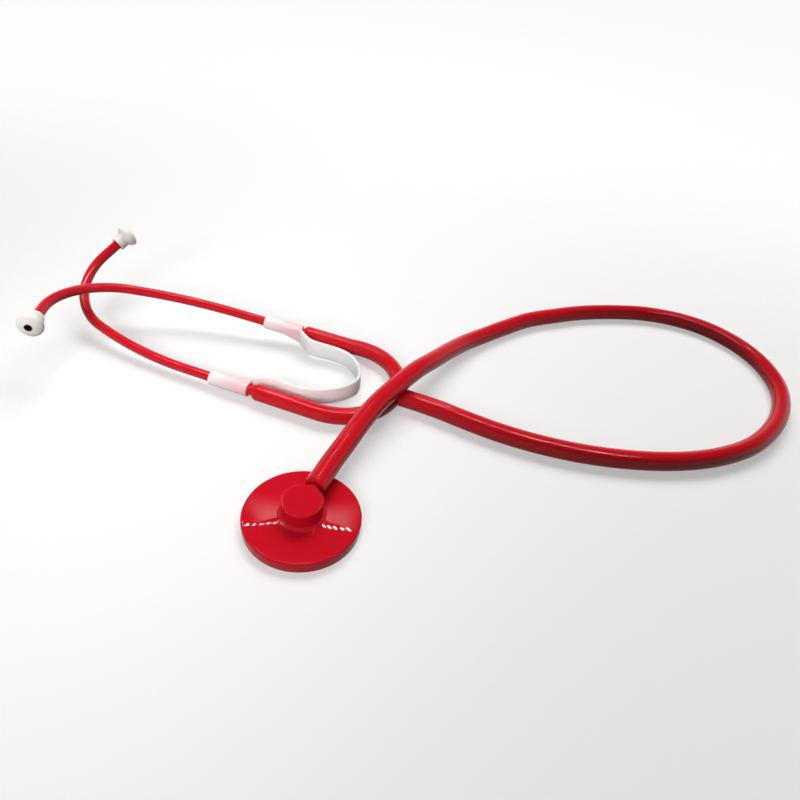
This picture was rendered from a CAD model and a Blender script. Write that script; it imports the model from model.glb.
import math

import bmesh
import bpy
from mathutils import Matrix, Vector


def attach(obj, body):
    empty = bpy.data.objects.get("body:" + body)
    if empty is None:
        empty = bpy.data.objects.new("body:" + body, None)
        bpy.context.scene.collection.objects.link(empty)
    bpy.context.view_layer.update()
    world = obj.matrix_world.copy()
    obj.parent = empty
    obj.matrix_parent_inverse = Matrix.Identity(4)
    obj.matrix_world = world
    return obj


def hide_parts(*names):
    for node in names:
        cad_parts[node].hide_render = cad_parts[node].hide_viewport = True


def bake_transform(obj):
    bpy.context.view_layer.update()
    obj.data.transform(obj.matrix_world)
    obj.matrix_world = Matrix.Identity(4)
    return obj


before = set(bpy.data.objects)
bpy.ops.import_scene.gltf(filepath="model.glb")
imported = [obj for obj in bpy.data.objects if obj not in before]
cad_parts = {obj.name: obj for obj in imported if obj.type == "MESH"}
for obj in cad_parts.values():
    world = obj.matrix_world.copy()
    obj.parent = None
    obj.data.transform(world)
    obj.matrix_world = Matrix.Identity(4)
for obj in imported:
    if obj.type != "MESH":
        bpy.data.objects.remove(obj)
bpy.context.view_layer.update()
scene = bpy.context.scene


# Camera
# A wide phone lens held low above the near edge of the table, looking down across the object
# with a slight roll. Its place was fitted to the ellipses and tube widths of the photograph.
camera_data = bpy.data.cameras.new("photo_camera")
camera_data.sensor_width = 36.0
camera_data.lens = 27.0
camera_data.clip_start = 0.005
camera_data.clip_end = 20.0
camera = bpy.data.objects.new("photo_camera", camera_data)
scene.collection.objects.link(camera)
camera_place = Vector((0.06595, -0.13649, 0.19033))
camera_pitch, camera_roll, camera_yaw = (math.radians(a) for a in (39.37, 8.52, 14.0))
level = Vector((1.0, 0.0, 0.0))
ahead = Vector((0.0, math.cos(camera_pitch), -math.sin(camera_pitch)))
over = Vector((0.0, math.sin(camera_pitch), math.cos(camera_pitch)))
camera_right = level * math.cos(camera_roll) + over * math.sin(camera_roll)
camera_up = over * math.cos(camera_roll) - level * math.sin(camera_roll)
camera_axes = Matrix((camera_right, camera_up, -ahead)).transposed().to_4x4()
camera.matrix_world = (
    Matrix.Translation(camera_place) @ Matrix.Rotation(camera_yaw, 4, "Z") @ camera_axes
)
scene.camera = camera


# Main tube
# Soft glossy red tube. It pushes onto the chestpiece's stem, passes over the fork in a long low
# hump, turns in a wide loop on the table and runs straight back into the fork's stem.
TUBE_R, TUBE_SIDES, PATH_STEPS = 0.0046, 48, 12
STEM_D, STEM_Z = 0.0052, 0.0100
STEM_HEADING = math.radians(88.0)
TUBE_FROM, TUBE_LEAD, LEAD_RISE = 0.0102, 0.0150, 0.0006
TUBE_BORE_R, TUBE_BORE_DEPTH, BORE_CHAMFER = STEM_D / 2 + 0.0001, 0.004, 0.0003
TUBE_LIP, TUBE_LIP_STEPS = 0.0006, 5
FORK_END, FORK_Y = 0.0200, 0.0855
stem_way = Vector((math.cos(STEM_HEADING), math.sin(STEM_HEADING), 0.0))
route_mm = [
    (2, 37, 6.9), (3, 47, 8.2), (4.4, 58, 9.3), (6.2, 68, 9.9), (8.6, 78, 10.1),
    (11.2, 88, 10.1), (14.2, 99, 9.6), (18, 112, 7.6), (22.6, 129, 4.6), (28, 145, 2),
    (35, 159, 0.5), (44, 174, 0), (56, 191, 0), (70, 204.5, 0), (86, 218, 0), (104, 229.5, 0),
    (124, 239, 0), (144, 243, 0), (163, 241, 0), (180, 232, 0), (192, 218.5, 0),
    (199, 202, 0), (201, 185, 0), (198, 166, 0), (191, 148, 0), (180.5, 131, 0),
    (167, 117, 0), (152, 106, 0), (136, 97.5, 0), (118, 90.5, 0), (99, 85.5, 0),
    (80, 82.8, 0), (61, 82.2, 0), (43, 83.6, 0), (31, 85, 0),
]


def at_mm(x, y, h):
    """A point given in millimetres, its height measured from the resting tube's axis."""
    return Vector((x / 1000, y / 1000, h / 1000 + TUBE_R))


def on_stem(d, rise=0.0):
    """A point on the chest stem's axis, at a distance from the chestpiece's own axis."""
    return stem_way * d + Vector((0, 0, STEM_Z + rise))


def smooth_path(points, per_span):
    """Catmull-Rom curve through the points, as the CAD route has it."""
    made = []
    last = len(points) - 1
    for k in range(last):
        a, b = points[max(k - 1, 0)], points[k]
        c, d = points[k + 1], points[min(k + 2, last)]
        for i in range(per_span):
            t = i / per_span
            made.append(
                b
                + 0.5 * t * (c - a + t * (2 * a - 5 * b + 4 * c - d + t * (3 * (b - c) + d - a)))
            )
    return made + [points[last]]


def directions(points, first=None, last=None):
    """Heading at each point of a path."""
    made = []
    for i in range(len(points)):
        made.append((points[min(i + 1, len(points) - 1)] - points[max(i - 1, 0)]).normalized())
    made[0] = first or made[0]
    made[-1] = last or made[-1]
    return made


def cross_axes(along):
    """Sideways and upward directions square to a heading."""
    along = along.normalized()
    rise = (Vector((0, 0, 1)) - along.z * along).normalized()
    return along.cross(rise), rise


def join_rings(bm, rings):
    """Faces between each ring of vertices and the next."""
    for one, two in zip(rings, rings[1:]):
        for j in range(len(one)):
            k = (j + 1) % len(one)
            bm.faces.new((one[j], one[k], two[k], two[j]))


def mesh_object(name, bm):
    """Smooth-shaded object from a finished bmesh, with its faces turned outward."""
    bmesh.ops.recalc_face_normals(bm, faces=bm.faces[:])
    mesh = bpy.data.meshes.new(name)
    bm.to_mesh(mesh)
    bm.free()
    mesh.polygons.foreach_set("use_smooth", [True] * len(mesh.polygons))
    made = bpy.data.objects.new(name, mesh)
    scene.collection.objects.link(made)
    return made


def sweep(name, stations, sides, cap_start=False, cap_end=False):
    """Mesh tube through (centre, direction, radius) stations."""
    bm = bmesh.new()
    turns = [2 * math.pi * j / sides for j in range(sides)]
    rings = []
    for centre, along, radius in stations:
        aside, rise = cross_axes(along)
        rings.append(
            [
                bm.verts.new(centre + radius * (math.cos(a) * aside + math.sin(a) * rise))
                for a in turns
            ]
        )
    join_rings(bm, rings)
    if cap_start:
        bm.faces.new(rings[0])
    if cap_end:
        bm.faces.new(rings[-1])
    return mesh_object(name, bm)


route = [on_stem(TUBE_FROM), on_stem(TUBE_FROM + TUBE_LEAD, LEAD_RISE)]
route += [at_mm(*p) for p in route_mm] + [Vector((FORK_END, FORK_Y, TUBE_R))]
tube_path = smooth_path(route, PATH_STEPS)
tube_ways = directions(tube_path, stem_way, Vector((-1, 0, 0)))
tube_start = tube_path[0]
tube_stations = [
    (tube_start + stem_way * TUBE_BORE_DEPTH, stem_way, TUBE_BORE_R),
    (tube_start + stem_way * BORE_CHAMFER, stem_way, TUBE_BORE_R),
    (tube_start, stem_way, TUBE_BORE_R + BORE_CHAMFER),
]
for i in range(TUBE_LIP_STEPS + 1):
    turn = math.pi / 2 * i / TUBE_LIP_STEPS
    lip_place = tube_start + stem_way * TUBE_LIP * (1 - math.cos(turn))
    tube_stations.append((lip_place, stem_way, TUBE_R - TUBE_LIP * (1 - math.sin(turn))))
tube_stations += [(p, t, TUBE_R) for p, t in zip(tube_path[1:], tube_ways[1:])]
main_tube = sweep("soft_tube", tube_stations, TUBE_SIDES)

# Places of a Mix node's sockets when it mixes colours.
MIX_SHARE, MIX_ONE, MIX_TWO, MIX_RESULT = 0, 6, 7, 2
RIPPLE_HEIGHT = 0.0005


def moulded_group():
    """Node group for moulded plastic: a drifting tone, an uneven polish and a faint ripple."""
    group = bpy.data.node_groups.new("moulded_surface", "ShaderNodeTree")
    for in_out, name, kind in (
        ("INPUT", "Tone A", "NodeSocketColor"),
        ("INPUT", "Tone B", "NodeSocketColor"),
        ("INPUT", "Tone Scale", "NodeSocketFloat"),
        ("INPUT", "Ripple Scale", "NodeSocketFloat"),
        ("INPUT", "Ripple", "NodeSocketFloat"),
        ("INPUT", "Polish Low", "NodeSocketFloat"),
        ("INPUT", "Polish High", "NodeSocketFloat"),
        ("OUTPUT", "Color", "NodeSocketColor"),
        ("OUTPUT", "Roughness", "NodeSocketFloat"),
        ("OUTPUT", "Normal", "NodeSocketVector"),
    ):
        group.interface.new_socket(name, in_out=in_out, socket_type=kind)
    nodes, links = group.nodes, group.links
    inside, outside = nodes.new("NodeGroupInput"), nodes.new("NodeGroupOutput")
    place = nodes.new("ShaderNodeTexCoord")
    drift = nodes.new("ShaderNodeTexNoise")
    drift.inputs["Detail"].default_value = 2.0
    links.new(place.outputs["Object"], drift.inputs["Vector"])
    links.new(inside.outputs["Tone Scale"], drift.inputs["Scale"])
    tone = nodes.new("ShaderNodeMix")
    tone.data_type = "RGBA"
    links.new(drift.outputs["Fac"], tone.inputs[MIX_SHARE])
    links.new(inside.outputs["Tone A"], tone.inputs[MIX_ONE])
    links.new(inside.outputs["Tone B"], tone.inputs[MIX_TWO])
    links.new(tone.outputs[MIX_RESULT], outside.inputs["Color"])
    polish = nodes.new("ShaderNodeMapRange")
    links.new(drift.outputs["Fac"], polish.inputs["Value"])
    links.new(inside.outputs["Polish Low"], polish.inputs["To Min"])
    links.new(inside.outputs["Polish High"], polish.inputs["To Max"])
    links.new(polish.outputs["Result"], outside.inputs["Roughness"])
    ripple = nodes.new("ShaderNodeTexNoise")
    ripple.inputs["Detail"].default_value = 1.0
    links.new(place.outputs["Object"], ripple.inputs["Vector"])
    links.new(inside.outputs["Ripple Scale"], ripple.inputs["Scale"])
    bump = nodes.new("ShaderNodeBump")
    bump.inputs["Distance"].default_value = RIPPLE_HEIGHT
    links.new(inside.outputs["Ripple"], bump.inputs["Strength"])
    links.new(ripple.outputs["Fac"], bump.inputs["Height"])
    links.new(bump.outputs["Normal"], outside.inputs["Normal"])
    return group


moulded = moulded_group()


def moulded_material(
    name, tone_a, tone_b, polish, ripple=0.02, ripple_scale=350.0, tone_scale=60.0
):
    """Principled material whose colour, polish and ripple come from the moulded group."""
    material = bpy.data.materials.new(name)
    material.use_nodes = True
    nodes, links = material.node_tree.nodes, material.node_tree.links
    shader = nodes["Principled BSDF"]
    group = nodes.new("ShaderNodeGroup")
    group.node_tree = moulded
    for socket, value in (
        ("Tone A", (*tone_a, 1)),
        ("Tone B", (*tone_b, 1)),
        ("Tone Scale", tone_scale),
        ("Ripple Scale", ripple_scale),
        ("Ripple", ripple),
        ("Polish Low", polish[0]),
        ("Polish High", polish[1]),
    ):
        group.inputs[socket].default_value = value
    links.new(group.outputs["Color"], shader.inputs["Base Color"])
    links.new(group.outputs["Roughness"], shader.inputs["Roughness"])
    links.new(group.outputs["Normal"], shader.inputs["Normal"])
    return material, shader


tube_red, tube_shader = moulded_material(
    "tube_red", (0.66, 0.008, 0.018), (0.58, 0.006, 0.014), (0.05, 0.09), ripple=0.008
)
tube_shader.inputs["Specular IOR Level"].default_value = 0.15
main_tube.data.materials.append(tube_red)
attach(main_tube, "base")
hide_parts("main_tube")


# Chestpiece
# Hard glossy red moulding: a thin disc with a rounded rim and an almost flat crown, a round boss
# in the middle and a narrow stem out of the boss's side that the tube covers.
CHEST_R, RIM_H, RIM_EDGE = 0.0233, 0.0047, 0.0009
CROWN_Z, BOSS_R, BOSS_TOP = 0.0055, 0.0082, 0.0130
BOSS_EDGE, BOSS_FILLET, BOSS_MID, EDGE_BAND = 0.0005, 0.0014, 0.009, 0.0004
RIM_WALL, SEAT_H, SEAT_EDGE, FOOT_EDGE = 0.0020, 0.0018, 0.0002, 0.0004
CROWN_SHARES, TOP_SHARES = (0.02, 0.1, 0.25, 0.5, 0.75, 0.9, 0.98), (0.8, 0.5, 0.2, 0.0)
FOOT_STEPS, EDGE_STEPS, CHEST_SEGMENTS, STEM_SIDES = 4, 8, 160, 40
STEM_PROFILE = (
    (0.0070, 0.0032),
    (0.0080, 0.0032),
    (0.0084, 0.0029),
    (0.0089, 0.0027),
    (0.0096, STEM_D / 2),
    (0.0160, STEM_D / 2),
)


def quarter(centre_r, centre_z, radius, start, end, steps):
    """Points of an arc in the lathe plane, angles in degrees."""
    made = []
    for i in range(steps + 1):
        a = math.radians(start + (end - start) * i / steps)
        made.append((centre_r + radius * math.cos(a), centre_z + radius * math.sin(a)))
    return made


def lathe(name, outline, segments):
    """Surface of revolution round Z of an outline of (radius, height) points."""
    bm = bmesh.new()
    verts = [bm.verts.new((r, 0, z)) for r, z in outline]
    edges = [bm.edges.new((a, b)) for a, b in zip(verts, verts[1:])]
    bmesh.ops.spin(
        bm,
        geom=verts + edges,
        cent=(0, 0, 0),
        axis=(0, 0, 1),
        angle=2 * math.pi,
        steps=segments,
        use_merge=True,
    )
    bmesh.ops.remove_doubles(bm, verts=bm.verts[:], dist=1e-7)
    return mesh_object(name, bm)


seat_r, crown_r = CHEST_R - RIM_WALL, CHEST_R - RIM_EDGE
crown_line = [
    (crown_r - (crown_r - BOSS_R - BOSS_FILLET) * s, RIM_H + (CROWN_Z - RIM_H) * s)
    for s in CROWN_SHARES
]
chest_outline = (
    [(seat_r, SEAT_H), (seat_r, SEAT_EDGE), (seat_r + SEAT_EDGE, 0.0)]
    + quarter(CHEST_R - FOOT_EDGE, FOOT_EDGE, FOOT_EDGE, -90, 0, FOOT_STEPS)
    + quarter(crown_r, RIM_H - RIM_EDGE, RIM_EDGE, 0, 88, EDGE_STEPS)
    + crown_line
    + quarter(BOSS_R + BOSS_FILLET, CROWN_Z + BOSS_FILLET, BOSS_FILLET, -90, -180, EDGE_STEPS)
    + [(BOSS_R, BOSS_MID), (BOSS_R, BOSS_TOP - BOSS_EDGE - EDGE_BAND)]
    + quarter(BOSS_R - BOSS_EDGE, BOSS_TOP - BOSS_EDGE, BOSS_EDGE, 0, 90, EDGE_STEPS)
    + [(BOSS_R * s, BOSS_TOP) for s in TOP_SHARES]
)
chest = lathe("chest_shell", chest_outline, CHEST_SEGMENTS)
stem_stations = [(on_stem(d), stem_way, r) for d, r in STEM_PROFILE]
chest_stem = sweep("chest_stem", stem_stations, STEM_SIDES)
chest_red, chest_shader = moulded_material(
    "chest_red",
    (0.60, 0.006, 0.018),
    (0.55, 0.005, 0.015),
    (0.012, 0.02),
    ripple=0.003,
    ripple_scale=120.0,
    tone_scale=25.0,
)
chest_shader.inputs["Specular IOR Level"].default_value = 0.14
for piece in (chest, chest_stem):
    piece.data.materials.append(chest_red)
    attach(piece, "base")
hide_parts("chest_body")


# Diaphragm and retaining ring
# Thin milky film over the cup, seen only from below, held by a red ring that snaps into the rim.
# Both are plain turned pieces, so their solids are shown as they are, with these materials.
film_white, _ = moulded_material(
    "film_white",
    (0.80, 0.80, 0.78),
    (0.72, 0.72, 0.70),
    (0.3, 0.42),
    ripple=0.03,
    tone_scale=40.0,
)
ring_red, _ = moulded_material(
    "ring_red", (0.56, 0.006, 0.018), (0.50, 0.005, 0.015), (0.12, 0.2), ripple=0.01
)
for node, material in (("diaphragm", film_white), ("retaining_ring", ring_red)):
    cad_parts[node].data.materials.clear()
    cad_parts[node].data.materials.append(material)


# Fork
# The tube's moulded end: a bow that parts into two arms with rounded ends. It is as soft as the
# tube, so each arm bends where the spring lets the ear tubes spread.
BOW_X, BOW_R, ARM_R, ARM_L = -0.0208, 0.0285, 0.0041, 0.0330
RISE_R, EAR_R = 0.0400, 0.0024
ARM_ROUND, ARM_BLUNT, ARM_SIDES = 0.0026, 0.0016, 44
ARM_BORE_R, ARM_BORE_DEPTH = EAR_R + 0.0001, 0.003
BOW_STEPS, RISE_STEPS, ARM_STEPS, ROUND_STEPS = 40, 8, 12, 8
CROTCH_A, CROTCH_REACH = math.radians(24.0), 1.35
CROTCH_STEPS, CROTCH_SIDES = 20, 48
BLOCK_X, BLOCK_SIDES = (BOW_X + BOW_R, 0.012, 0.016, FORK_END + 0.004), 64
RIGHT = {"side": -1, "toe": 0.0, "lift": 0.0, "turn": math.radians(26.8), "nub": 0.0025}
LEFT = {
    "side": 1,
    "toe": math.radians(9.8),
    "lift": math.radians(6.7),
    "turn": math.radians(6.4),
    "nub": 0.0010,
}


def spent(b):
    """Length of a branch that its toe-in and its rise take up."""
    return BOW_R * b["toe"] + RISE_R * b["lift"]


def arm_len(b):
    """Length of an arm's straight stretch."""
    return ARM_L - spent(b)


def turned_in(b, q):
    """A point given along, inward and above the bow's end, in the frame of the part."""
    toe = b["toe"]
    return Vector(
        (
            BOW_X - BOW_R * math.sin(toe) - q[0] * math.cos(toe) + q[1] * math.sin(toe),
            FORK_Y
            + b["side"] * (BOW_R * math.cos(toe) - q[0] * math.sin(toe) - q[1] * math.cos(toe)),
            TUBE_R + q[2],
        )
    )


def laid(b, d, inward=0.0, above=0.0):
    """A point along, inward of and above a branch, past its rise."""
    c, s = math.cos(b["lift"]), math.sin(b["lift"])
    return turned_in(
        b, (d * c - (above - RISE_R) * s, inward, d * s + (above - RISE_R) * c + RISE_R)
    )


def branch_axes(b):
    """Directions along, inward of and above a branch."""
    start = laid(b, 0.0)
    return laid(b, 1.0) - start, laid(b, 0.0, 1.0) - start, laid(b, 0.0, 0.0, 1.0) - start


def bow_point(angle):
    """A point on the bow's axis, at an angle from the stem."""
    return Vector((BOW_X + BOW_R * math.cos(angle), FORK_Y + BOW_R * math.sin(angle), TUBE_R))


def crotch_way(side):
    """Heading of the bow where an arm leaves the crotch."""
    return Vector((-math.sin(CROTCH_A), side * math.cos(CROTCH_A), 0))


def arm_stations(b):
    """Bow from the crotch outward, then the rise, the arm, its rounded end and its bore."""
    end = math.pi / 2 + b["toe"]
    points = [
        bow_point(b["side"] * (CROTCH_A + (end - CROTCH_A) * i / BOW_STEPS))
        for i in range(BOW_STEPS + 1)
    ]
    if b["lift"]:
        for i in range(1, RISE_STEPS + 1):
            a = b["lift"] * i / RISE_STEPS
            points.append(turned_in(b, (RISE_R * math.sin(a), 0, RISE_R * (1 - math.cos(a)))))
    straight = arm_len(b) - ARM_ROUND
    points += [laid(b, straight * i / ARM_STEPS) for i in range(1, ARM_STEPS + 1)]
    out = branch_axes(b)[0].normalized()
    ways = directions(points, crotch_way(b["side"]), out)
    made = [(p, t, ARM_R) for p, t in zip(points, ways)]
    for i in range(1, ROUND_STEPS + 1):
        a = math.pi / 2 * i / ROUND_STEPS
        place = laid(b, straight + ARM_ROUND * math.sin(a))
        made.append((place, out, ARM_R - ARM_BLUNT * (1 - math.cos(a))))
    for d in (arm_len(b), arm_len(b) - ARM_BORE_DEPTH):
        made.append((laid(b, d), out, ARM_BORE_R))
    return made


right_arm = sweep("right_arm", arm_stations(RIGHT), ARM_SIDES)
left_arm = sweep("left_arm", arm_stations(LEFT), ARM_SIDES)
crotch_bow = [
    bow_point(CROTCH_A * CROTCH_REACH * i / CROTCH_STEPS)
    for i in range(-CROTCH_STEPS, CROTCH_STEPS + 1)
]
crotch = sweep(
    "fork_crotch",
    [(p, t, ARM_R) for p, t in zip(crotch_bow, directions(crotch_bow))],
    CROTCH_SIDES,
    cap_start=True,
    cap_end=True,
)
stem_block = sweep(
    "fork_stem_block",
    [(Vector((x, FORK_Y, TUBE_R)), Vector((1, 0, 0)), TUBE_R) for x in BLOCK_X],
    BLOCK_SIDES,
    cap_start=True,
    cap_end=True,
)
bm = bmesh.new()
bm.from_mesh(crotch.data)
bm.from_mesh(stem_block.data)
bm.to_mesh(crotch.data)
bm.free()
bpy.data.objects.remove(stem_block)
remesh = crotch.modifiers.new("fuse", "REMESH")
remesh.mode = "VOXEL"
remesh.voxel_size = 0.00045
soften = crotch.modifiers.new("soften", "SMOOTH")
soften.factor = 0.5
soften.iterations = 14
fused = bpy.data.meshes.new_from_object(
    crotch.evaluated_get(bpy.context.evaluated_depsgraph_get())
)
crotch.modifiers.clear()
crotch.data = fused
bm = bmesh.new()
bm.from_mesh(fused)
for place, way in (
    (Vector((FORK_END, FORK_Y, TUBE_R)), Vector((1, 0, 0))),
    (bow_point(CROTCH_A), crotch_way(1)),
    (bow_point(-CROTCH_A), crotch_way(-1)),
):
    bmesh.ops.bisect_plane(
        bm,
        geom=bm.verts[:] + bm.edges[:] + bm.faces[:],
        plane_co=place,
        plane_no=way,
        clear_outer=True,
    )
bm.to_mesh(fused)
bm.free()
fused.polygons.foreach_set("use_smooth", [True] * len(fused.polygons))
for piece in (right_arm, left_arm, crotch):
    piece.data.materials.append(tube_red)
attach(crotch, "base")
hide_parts("fork")
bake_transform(right_arm)
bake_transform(left_arm)
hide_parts("fork")
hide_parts("fork")


# Spring leaf
# Flat milky strip on edge that runs from sleeve to sleeve inside the fork, with an S-shaped foot
# at each sleeve. It bends at its apex, and its two legs follow the sleeves.
LEAF_H, LEAF_T, LEAF_Y = 0.0090, 0.0016, 0.0036
LEAF_EDGE, LEAF_EDGE_STEPS, LEAF_STEPS = LEAF_T * 0.42, 4, 10
right_foot_mm = [(0, 3.6), (3.3, 6.2), (7.3, 8.2), (12.8, 8.4), (19.8, 8)]
left_foot_mm = [(17.4, 10.4), (11.5, 10.5), (6.8, 9.7), (3.2, 7), (0, 3.6)]
leaf_bend_mm = [
    (-29, 66.2, 0), (-22, 69.6, 0), (-16, 75, 0), (-12, 82.5, 0), (-13.2, 90, 0),
    (-17.7, 96.4, 0.2), (-23.1, 100.3, 0.4), (-29, 101.6, 0.7),
]
APEX_POINT = 3
APEX_AT = (len(right_foot_mm) + APEX_POINT) * LEAF_STEPS


def sleeve_from(b):
    """Distance along a branch at which its sleeve starts."""
    return arm_len(b) + b["nub"]


def leaf_leg(name, points, ways):
    """One leg of the leaf, a strip with rounded edges swept on edge along its path."""
    section = []
    for cx, cz, first in ((1, 1, 0), (-1, 1, 90), (-1, -1, 180), (1, -1, 270)):
        for i in range(LEAF_EDGE_STEPS + 1):
            a = math.radians(first + 90 * i / LEAF_EDGE_STEPS)
            section.append(
                (
                    cx * (LEAF_T / 2 - LEAF_EDGE) + LEAF_EDGE * math.cos(a),
                    cz * (LEAF_H / 2 - LEAF_EDGE) + LEAF_EDGE * math.sin(a),
                )
            )
    bm = bmesh.new()
    rings = []
    for p, t in zip(points, ways):
        aside, rise = cross_axes(t)
        rings.append([bm.verts.new(p + x * aside + z * rise) for x, z in section])
    join_rings(bm, rings)
    return mesh_object(name, bm)


def milky(shader, weight, radius, scale):
    """Lets light some way into a pale plastic."""
    shader.inputs["Subsurface Weight"].default_value = weight
    shader.inputs["Subsurface Radius"].default_value = radius
    shader.inputs["Subsurface Scale"].default_value = scale


leaf_points = [laid(RIGHT, sleeve_from(RIGHT) - d / 1000, y / 1000) for d, y in right_foot_mm]
leaf_points += [at_mm(*p) for p in leaf_bend_mm]
leaf_points += [laid(LEFT, sleeve_from(LEFT) - d / 1000, y / 1000) for d, y in left_foot_mm]
leaf_path = smooth_path(leaf_points, LEAF_STEPS)
leaf_ways = directions(leaf_path, -branch_axes(RIGHT)[0], branch_axes(LEFT)[0])
right_leg = leaf_leg("right_leaf_leg", leaf_path[: APEX_AT + 1], leaf_ways[: APEX_AT + 1])
left_leg = leaf_leg("left_leaf_leg", leaf_path[APEX_AT:], leaf_ways[APEX_AT:])
leaf_white, leaf_shader = moulded_material(
    "leaf_white", (0.98, 0.975, 0.965), (0.96, 0.95, 0.94), (0.45, 0.58), ripple=0.02
)
milky(leaf_shader, weight=1.0, radius=(1.0, 0.9, 0.85), scale=0.0025)
for piece in (right_leg, left_leg):
    piece.data.materials.append(leaf_white)
    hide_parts("spring_leaf")
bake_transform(right_leg)
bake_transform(left_leg)


# Sleeves
# Milky soft sleeves moulded on the leaf's ends. Each flares into the leaf's edge at the fork's
# side, and the red ear tube shows through its wall as pink, most next to the fork.
SLEEVE_R, SLEEVE_L, SLEEVE_ROUND = 0.0036, 0.0205, 0.0005
SLEEVE_BORE_R, TAB_L, TAB_TIP = 0.00246, 0.0150, 0.0020
SLEEVE_SIDES, SLEEVE_STEPS, END_STEPS = 96, 40, 4
FLARE_LIMIT, SOFTEN_SPAN, ROUND_SKIN = 0.02, 3, 1.04


def sleeve_radius(d, angle):
    """Distance from the ear tube's axis to the sleeve's skin, at an angle from the leaf's side."""
    share = min(1.0, max(0.0, d / TAB_L))
    half = (LEAF_H + (TAB_TIP - LEAF_H) * share) / 2
    out = LEAF_Y + LEAF_T / 2 - LEAF_T * share
    c, sn = math.cos(angle), abs(math.sin(angle))
    if c < FLARE_LIMIT:
        return SLEEVE_R
    reach = out / c
    if reach * sn > half:
        reach = half / sn
        if reach * c < out - LEAF_T:
            return SLEEVE_R
    return max(SLEEVE_R, reach)


def sleeve_mesh(name, b):
    """Skin of a sleeve with its bore, softened round the axis so that the flare has a fillet."""
    along, inward, above = branch_axes(b)
    start = laid(b, sleeve_from(b))
    turns = [2 * math.pi * j / SLEEVE_SIDES for j in range(SLEEVE_SIDES)]
    ends = [SLEEVE_ROUND * (1 - math.cos(math.pi / 2 * i / END_STEPS)) for i in range(END_STEPS)]
    middle = SLEEVE_L - 2 * SLEEVE_ROUND
    places = ends + [SLEEVE_ROUND + middle * i / SLEEVE_STEPS for i in range(SLEEVE_STEPS + 1)]
    places += [SLEEVE_L - d for d in reversed(ends)]
    bm = bmesh.new()
    depth = bm.verts.layers.float.new("along_sleeve")

    def ring(d, radii):
        made = []
        for a, r in zip(turns, radii):
            out = r * (math.cos(a) * inward + math.sin(a) * above)
            vert = bm.verts.new(start + along * d + out)
            vert[depth] = d / SLEEVE_L
            made.append(vert)
        return made

    bore = [SLEEVE_BORE_R] * SLEEVE_SIDES
    rings = [ring(0.0, bore)]
    for d in places:
        sharp = [sleeve_radius(d, a) for a in turns]
        soft = []
        for j in range(SLEEVE_SIDES):
            span = range(-SOFTEN_SPAN, SOFTEN_SPAN + 1)
            near = [sharp[(j + k) % SLEEVE_SIDES] for k in span]
            soft.append(sum(near) / len(near))
        off = min(d, SLEEVE_L - d)
        drop = 0.0
        if off < SLEEVE_ROUND:
            drop = SLEEVE_ROUND - math.sqrt(SLEEVE_ROUND**2 - (SLEEVE_ROUND - off) ** 2)
        rings.append(ring(d, [r - drop if r < SLEEVE_R * ROUND_SKIN else r for r in soft]))
    rings.append(ring(SLEEVE_L, bore))
    join_rings(bm, rings + rings[:1])
    return mesh_object(name, bm)


def ramp(tree, value, from_range, to_range=(0.0, 1.0), kind="SMOOTHSTEP"):
    """Socket of a Map Range node that takes a value from one range to another."""
    node = tree.nodes.new("ShaderNodeMapRange")
    node.interpolation_type = kind
    tree.links.new(value, node.inputs["Value"])
    node.inputs["From Min"].default_value, node.inputs["From Max"].default_value = from_range
    node.inputs["To Min"].default_value, node.inputs["To Max"].default_value = to_range
    return node.outputs["Result"]


def attribute(tree, name):
    """Socket with a named value that the mesh carries."""
    node = tree.nodes.new("ShaderNodeAttribute")
    node.attribute_name = name
    return node.outputs["Fac"]


def tint(tree, shader, share, colour):
    """Mixes a plain colour into a shader's base colour."""
    mix = tree.nodes.new("ShaderNodeMix")
    mix.data_type = "RGBA"
    mix.inputs[MIX_TWO].default_value = (*colour, 1)
    tree.links.new(share, mix.inputs[MIX_SHARE])
    tree.links.new(shader.inputs["Base Color"].links[0].from_socket, mix.inputs[MIX_ONE])
    tree.links.new(mix.outputs[MIX_RESULT], shader.inputs["Base Color"])


sleeve_pink, sleeve_shader = moulded_material(
    "sleeve_pink",
    (0.97, 0.55, 0.59),
    (0.97, 0.63, 0.66),
    (0.42, 0.55),
    ripple=0.03,
    tone_scale=90.0,
)
sleeve_tree = sleeve_pink.node_tree
sleeve_fade = ramp(
    sleeve_tree, attribute(sleeve_tree, "along_sleeve"), (0.25, 0.95), (0.0, 0.8), "LINEAR"
)
tint(sleeve_tree, sleeve_shader, sleeve_fade, (0.97, 0.94, 0.94))
milky(sleeve_shader, weight=0.4, radius=(1.0, 0.8, 0.8), scale=0.0005)
for side, b in (("right", RIGHT), ("left", LEFT)):
    sleeve = sleeve_mesh(f"{side}_sleeve_skin", b)
    sleeve.data.materials.append(sleeve_pink)
    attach(sleeve, f"{side}_swing")
    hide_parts(f"{side}_sleeve")


# Ear tubes
# Stiff glossy red tubes, alike on both sides: straight in arm and sleeve, then a gentle and a
# tight bend towards the ear. Each turns in its sleeve.
STRAIGHT_L, GENTLE_R, TIGHT_R, END_L = 0.0703, 0.1950, 0.0315, 0.0092
GENTLE_A, TIGHT_A = math.radians(16.4), math.radians(90.0)
GENTLE_STEPS, TIGHT_STEPS, EAR_SIDES = 24, 40, 36
STRAIGHT_SHARES = (0.75, 0.9)
EAR_PUSH, TIP_PUSH, EAR_BORE_R, EAR_BORE_DEPTH = 0.011, 0.005, 0.0014, 0.008


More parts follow.
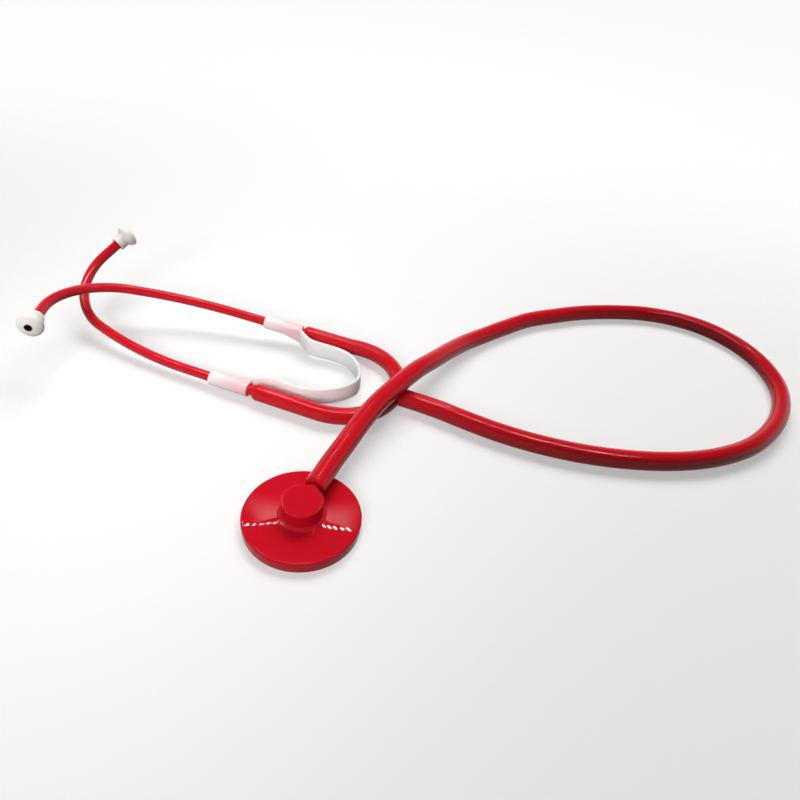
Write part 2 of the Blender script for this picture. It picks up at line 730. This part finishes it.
def ear_stations(b):
    """Stations of an ear tube, from its start inside the arm to its end inside the tip."""
    along, inward, above = branch_axes(b)
    inward = inward * math.cos(b["turn"]) + above * math.sin(b["turn"])
    start = laid(b, 0.0)
    bend = STRAIGHT_L - spent(b)
    plan = [(arm_len(b) - EAR_PUSH, 0.0, 0.0)]
    plan += [(bend * share, 0.0, 0.0) for share in STRAIGHT_SHARES]
    for i in range(GENTLE_STEPS + 1):
        a = GENTLE_A * i / GENTLE_STEPS
        plan.append((bend + GENTLE_R * math.sin(a), GENTLE_R * (1 - math.cos(a)), a))
    ex, ey, _ = plan[-1]
    for i in range(1, TIGHT_STEPS + 1):
        a = GENTLE_A + TIGHT_A * i / TIGHT_STEPS
        plan.append(
            (
                ex + TIGHT_R * (math.sin(a) - math.sin(GENTLE_A)),
                ey + TIGHT_R * (math.cos(GENTLE_A) - math.cos(a)),
                a,
            )
        )
    ex, ey, a = plan[-1]
    for run in (END_L / 2, END_L, END_L + TIP_PUSH):
        plan.append((ex + run * math.cos(a), ey + run * math.sin(a), a))
    return [
        (start + along * d + inward * y, along * math.cos(a) + inward * math.sin(a), EAR_R)
        for d, y, a in plan
    ]


ear_red, ear_shader = moulded_material(
    "ear_red", (0.66, 0.008, 0.02), (0.60, 0.006, 0.016), (0.08, 0.13), ripple=0.01
)
ear_shader.inputs["Specular IOR Level"].default_value = 0.15
ear_ends = {}
for side, b in (("right", RIGHT), ("left", LEFT)):
    stations = ear_stations(b)
    end, way, _ = stations[-1]
    ear_ends[side] = end, way
    bore = [(end, way, EAR_BORE_R), (end - way * EAR_BORE_DEPTH, way, EAR_BORE_R)]
    ear = sweep(f"{side}_ear_pipe", stations + bore, EAR_SIDES, cap_end=True)
    ear.data.materials.append(ear_red)
    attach(ear, f"{side}_ear")
    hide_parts(f"{side}_ear_tube")


# Ear tips
# Soft milky mushrooms pushed onto the tubes' ends, with a round sound hole in the crown. The
# hole looks dark red, because it leads into the red tube.
TIP_R, TIP_L, NECK_R, NECK_L, HOLE_R = 0.0057, 0.0105, 0.0037, 0.0020, 0.0015
LIP_R, LIP_FILLET, CROWN_R = 0.0020, 0.0012, 0.0080
TIP_BORE_R, TIP_BORE_DEPTH, BORE_MOUTH = EAR_R + 0.00002, 0.004, 0.0003
NECK_EDGE, HOLE_EDGE, HOLE_ROUND = 0.0004, 0.0004, 0.0001
DARK_REACH, DARK_FROM = HOLE_R * 1.08, TIP_L - 0.0003
NECK_STEPS, FILLET_STEPS, LIP_STEPS, TIP_SEGMENTS = 5, 6, 12, 72
LIP_OFF = TIP_R - LIP_R
FACE_Z = TIP_L - CROWN_R
LIP_Z = FACE_Z + math.sqrt((CROWN_R - LIP_R) ** 2 - LIP_OFF**2)
touch = math.degrees(math.atan2(LIP_Z - FACE_Z, LIP_OFF))
hole_turn = math.degrees(math.acos((HOLE_R + HOLE_EDGE) / CROWN_R))
tip_outline = (
    [(TIP_BORE_R, TIP_BORE_DEPTH), (TIP_BORE_R, BORE_MOUTH)]
    + quarter(NECK_R - NECK_EDGE, NECK_EDGE, NECK_EDGE, -90, 0, NECK_STEPS)
    + [(NECK_R, NECK_L)]
    + quarter(
        NECK_R + LIP_FILLET, LIP_Z - LIP_R - LIP_FILLET, LIP_FILLET, 180, 100, FILLET_STEPS
    )
    + quarter(LIP_OFF, LIP_Z, LIP_R, -80, touch, LIP_STEPS)
    + quarter(0.0, FACE_Z, CROWN_R, touch + 3, hole_turn, LIP_STEPS)
    + [(HOLE_R + HOLE_ROUND, TIP_L - HOLE_EDGE), (HOLE_R, TIP_L - 2 * HOLE_EDGE)]
    + [(HOLE_R, TIP_PUSH)]
)
tip_white, tip_shader = moulded_material(
    "tip_white",
    (0.94, 0.92, 0.88),
    (0.90, 0.87, 0.82),
    (0.36, 0.5),
    ripple=0.04,
    tone_scale=150.0,
)
tip_tree = tip_white.node_tree
tint(tip_tree, tip_shader, attribute(tip_tree, "in_hole"), (0.07, 0.008, 0.008))
milky(tip_shader, weight=0.35, radius=(1.0, 0.85, 0.7), scale=0.001)
for side in ("right", "left"):
    tip = lathe(f"{side}_ear_cushion", tip_outline, TIP_SEGMENTS)
    tip.data.materials.append(tip_white)
    in_hole = tip.data.attributes.new("in_hole", "FLOAT", "POINT")
    for vert in tip.data.vertices:
        inside = math.hypot(vert.co.x, vert.co.y) < DARK_REACH and vert.co.z < DARK_FROM
        in_hole.data[vert.index].value = 1.0 if inside else 0.0
    end, way = ear_ends[side]
    facing = way.to_track_quat("Z", "Y").to_matrix().to_4x4()
    tip.data.transform(Matrix.Translation(end - way * TIP_PUSH) @ facing)
    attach(tip, f"{side}_ear")
    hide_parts(f"{side}_ear_tip")


# Table and light
# A white table and horizon under a soft lamp, with a weak lamp from the near side. A strip, two
# pale panels and two rows of diodes draw the lines and spots that the glossy reds reflect.
FLOOR_HALF, FLOOR_Z = 6, -0.0001
WORLD_LIGHT = 0.08


def calc(tree, operation, first, second=0.0):
    """Socket of a Math node for a socket and a second socket or number."""
    node = tree.nodes.new("ShaderNodeMath")
    node.operation = operation
    tree.links.new(first, node.inputs[0])
    if isinstance(second, float):
        node.inputs[1].default_value = second
    else:
        tree.links.new(second, node.inputs[1])
    return node.outputs[0]


def seen_rays(tree):
    """Socket that is 1 for rays from the camera, from gloss and through clear material."""
    rays = tree.nodes.new("ShaderNodeLightPath").outputs
    seen = calc(tree, "MAXIMUM", rays["Is Camera Ray"], rays["Is Glossy Ray"])
    return calc(tree, "MAXIMUM", seen, rays["Is Transmission Ray"])


def diffuse(tree, colour):
    """Socket of a plain diffuse shader."""
    node = tree.nodes.new("ShaderNodeBsdfDiffuse")
    node.inputs["Color"].default_value = (*colour, 1)
    return node.outputs[0]


def mixed(tree, share, one, two):
    """Socket of a mix of two shaders."""
    node = tree.nodes.new("ShaderNodeMixShader")
    for socket, source in zip(node.inputs, (share, one, two)):
        tree.links.new(source, socket)
    return node.outputs[0]


floor_mesh = bpy.data.meshes.new("table_top")
floor_corners = ((-1, -1), (1, -1), (1, 1), (-1, 1))
floor_mesh.from_pydata(
    [(x * FLOOR_HALF, y * FLOOR_HALF, 0) for x, y in floor_corners], [], [(0, 1, 2, 3)]
)
floor = bpy.data.objects.new("table_top", floor_mesh)
floor.location = (0, 0, FLOOR_Z)
scene.collection.objects.link(floor)
floor_white = bpy.data.materials.new("table_white")
floor_white.use_nodes = True
floor_tree = floor_white.node_tree
floor_tree.nodes.remove(floor_tree.nodes["Principled BSDF"])
floor_spot = floor_tree.nodes.new("ShaderNodeTexCoord")
floor_off = floor_tree.nodes.new("ShaderNodeVectorMath")
floor_off.operation = "DISTANCE"
floor_off.inputs[1].default_value = (0.04, 0.02, 0)
floor_tree.links.new(floor_spot.outputs["Object"], floor_off.inputs[0])
floor_far = ramp(floor_tree, floor_off.outputs["Value"], (0.22, 0.75), (0.40, 0.95))
floor_glow = floor_tree.nodes.new("ShaderNodeEmission").outputs[0]
floor_bright = mixed(floor_tree, floor_far, diffuse(floor_tree, (0.88, 0.872, 0.858)), floor_glow)
floor_lit = diffuse(floor_tree, (0.12, 0.118, 0.116))
floor_tree.links.new(
    mixed(floor_tree, seen_rays(floor_tree), floor_lit, floor_bright),
    floor_tree.nodes["Material Output"].inputs["Surface"],
)
floor_mesh.materials.append(floor_white)


def area_lamp(name, size, watts):
    """Rectangular lamp, not yet placed."""
    data = bpy.data.lights.new(name, "AREA")
    data.shape = "RECTANGLE"
    data.size, data.size_y = size
    data.energy = watts
    made = bpy.data.objects.new(name, data)
    scene.collection.objects.link(made)
    return made


def lamp(name, place, target, size, watts):
    """Rectangular lamp that faces a target."""
    made = area_lamp(name, size, watts)
    facing = (Vector(target) - Vector(place)).to_track_quat("-Z", "Y").to_matrix().to_4x4()
    made.matrix_world = Matrix.Translation(place) @ facing
    return made


def across_lamp(data):
    """A lamp's node tree, and where on the lamp a ray leaves it, from 0 to 1 each way."""
    data.use_nodes = True
    tree = data.node_tree
    spot = tree.nodes.new("ShaderNodeNewGeometry")
    split = tree.nodes.new("ShaderNodeSeparateXYZ")
    tree.links.new(spot.outputs["Parametric"], split.inputs[0])
    return tree, split.outputs["X"], split.outputs["Y"]


def fading_panel(name, place, size, watts):
    """Pale panel that is brightest at one edge and fades towards the opposite one and the sides."""
    panel = lamp(name, place, (0.0, 0.02, 0), size, watts)
    tree, x, y = across_lamp(panel.data)
    rise = ramp(tree, y, (0.0, 0.9))
    sides = ramp(tree, calc(tree, "PINGPONG", x, 0.5), (0.0, 0.3))
    strength = tree.nodes["Emission"].inputs["Strength"]
    tree.links.new(calc(tree, "MULTIPLY", rise, sides), strength)


def diode_row(name, start, end, lights, width, watts):
    """Thin lamp between two points, whose strength comes and goes along it."""
    start, end = Vector(start), Vector(end)
    middle, along = (start + end) / 2, (end - start).normalized()
    row = area_lamp(name, ((end - start).length, width), watts)
    tree, x, _ = across_lamp(row.data)
    beat = calc(tree, "SINE", calc(tree, "MULTIPLY", x, 2 * math.pi * lights))
    strength = tree.nodes["Emission"].inputs["Strength"]
    tree.links.new(ramp(tree, beat, (0.2, 0.7), kind="LINEAR"), strength)
    down = -middle.normalized()
    down = (down - along * down.dot(along)).normalized()
    axes = Matrix((along, down.cross(along), -down)).transposed().to_4x4()
    row.matrix_world = Matrix.Translation(middle) @ axes


soft_lamp = lamp("soft_lamp", (-0.1, 0.85, 1.05), (0.02, 0.1, 0), (1.1, 0.7), 15.5)
soft_lamp.visible_glossy = False
front_lamp = lamp("front_lamp", (-0.09, -0.33, 0.25), (-0.10, 0.08, 0), (0.25, 0.2), 0.175)
front_lamp.visible_glossy = False
front_lamp.data.spread = math.radians(44)
glint_strip = lamp("glint_strip", (-0.05, 0.12, 0.9), (-0.05, 0.1, 0), (1.3, 0.02), 12.0)
glint_strip.visible_diffuse = False
fading_panel("pale_panel_left", (-0.454, 0.580, 0.8), (0.14, 0.16), 0.45)
fading_panel("pale_panel_right", (-0.146, 0.675, 0.8), (0.14, 0.16), 0.4)
diode_row("diodes_left", (-0.50, 0.453, 0.8), (-0.33, 0.453, 0.8), 10, 0.006, 0.6)
diode_row("diodes_right", (-0.15, 0.50, 0.8), (-0.07, 0.59, 0.8), 7, 0.011, 0.72)
world = bpy.data.worlds.new("pale_surround")
scene.world = world
world.use_nodes = True
world_tree = world.node_tree
world_shade = world_tree.nodes["Background"]
world_shade.inputs["Color"].default_value = (1, 1, 1, 1)
world_spot = world_tree.nodes.new("ShaderNodeTexCoord")
world_split = world_tree.nodes.new("ShaderNodeSeparateXYZ")
world_tree.links.new(world_spot.outputs["Generated"], world_split.inputs[0])
world_white = ramp(world_tree, world_split.outputs["Z"], (0.2, 0.6), (1.0, 0.1))
world_level = ramp(
    world_tree, seen_rays(world_tree), (0.0, 1.0), (WORLD_LIGHT, 1.0), kind="LINEAR"
)
world_tree.links.new(world_white, world_level.node.inputs["To Max"])
world_tree.links.new(world_level, world_shade.inputs["Strength"])
scene.view_settings.view_transform = "Standard"
